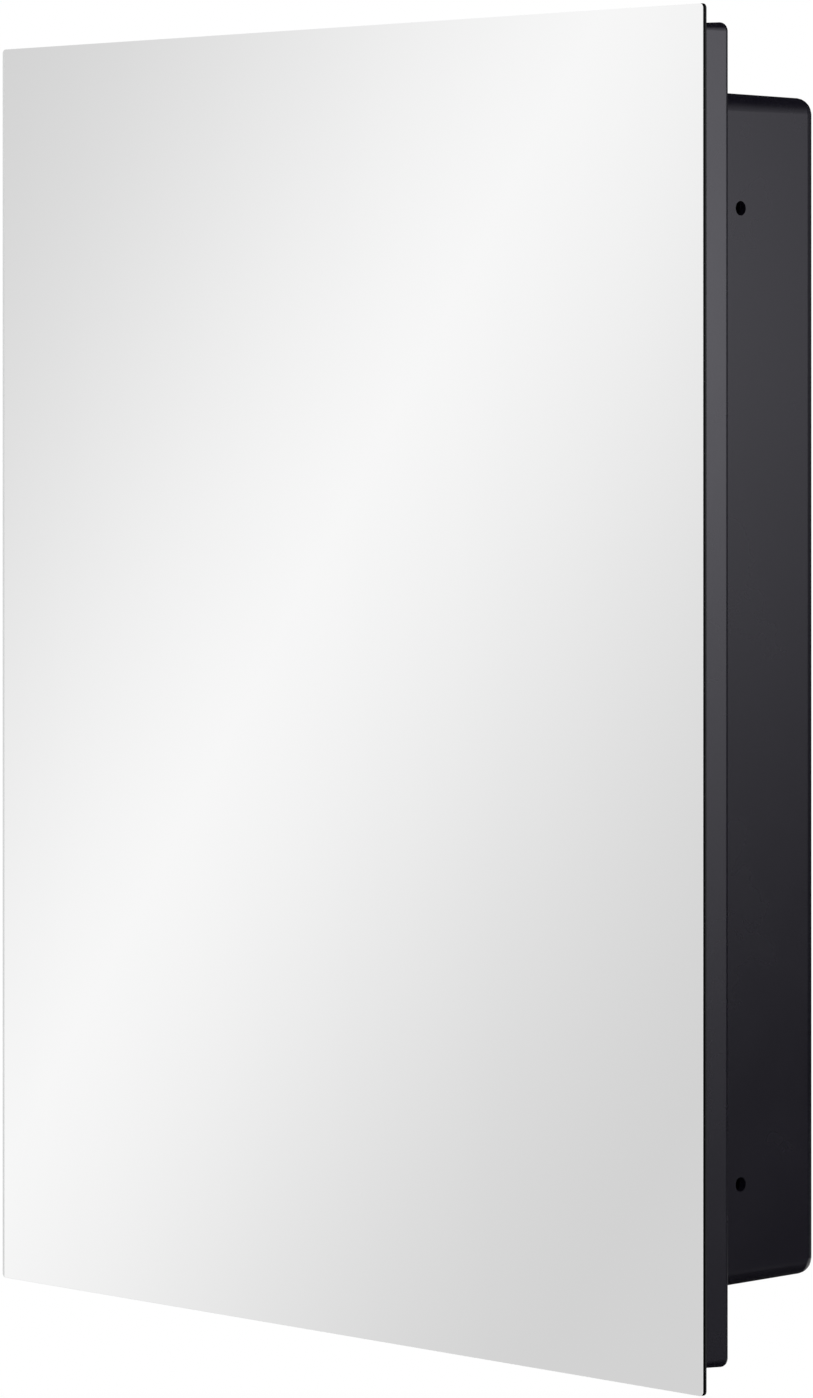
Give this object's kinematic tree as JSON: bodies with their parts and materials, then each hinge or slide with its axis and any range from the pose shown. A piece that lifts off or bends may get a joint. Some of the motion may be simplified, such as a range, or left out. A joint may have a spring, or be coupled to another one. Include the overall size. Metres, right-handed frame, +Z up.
{
  "type": "medicine cabinet with mirror",
  "caption": "Wall-recessed medicine cabinet: a frameless mirror door on a tray frame swings on corner pins in front of a moulded tub with glass shelves and a magnetic catch.",
  "frame": {"origin": "middle of the flange's back face, which lies on the finished wall", "axes": "+X to the right seen from the room, +Y into the wall, +Z up"},
  "size_m": [0.4064, 0.0936, 0.508],
  "materials": {
    "charcoal_plastic": "satin moulded plastic, charcoal",
    "panel_plastic": "matt sheet plastic, charcoal",
    "shelf_glass": "clear float glass with ground edges",
    "bright_steel": "bright zinc plated steel",
    "catch_plastic": "matt black plastic",
    "ferrite": "dull dark grey sintered magnet",
    "clear_rubber": "clear soft rubber",
    "mirror_silver": "silvered float glass",
    "backing_film": "grey woven safety film",
    "foam_tape": "black closed cell foam",
    "white_nylon": "natural white nylon"
  },
  "bodies": {
    "cabinet": {"cabinet_body": "charcoal_plastic", "shelf_upper": "shelf_glass", "shelf_lower": "shelf_glass", "hinge_pin_upper": "bright_steel", "hinge_pin_lower": "bright_steel", "catch_housing": "catch_plastic", "catch_magnet": "ferrite", "catch_pole_plates": "bright_steel", "door_bumpers": "clear_rubber"},
    "door": {"door_frame": "charcoal_plastic", "door_back_panel": "panel_plastic", "strike_plate": "bright_steel", "mirror_glass": "mirror_silver", "mirror_backing": "backing_film", "mirror_tape": "foam_tape", "hinge_bush_upper": "white_nylon", "hinge_bush_lower": "white_nylon"}
  },
  "joints": [
    {"name": "door_swing", "type": "hinge", "parent": "cabinet", "child": "door", "pos_m": [-0.1913, -0.016, 0], "axis": [0, 0, -1], "range_deg": [0, 110]}
  ]
}
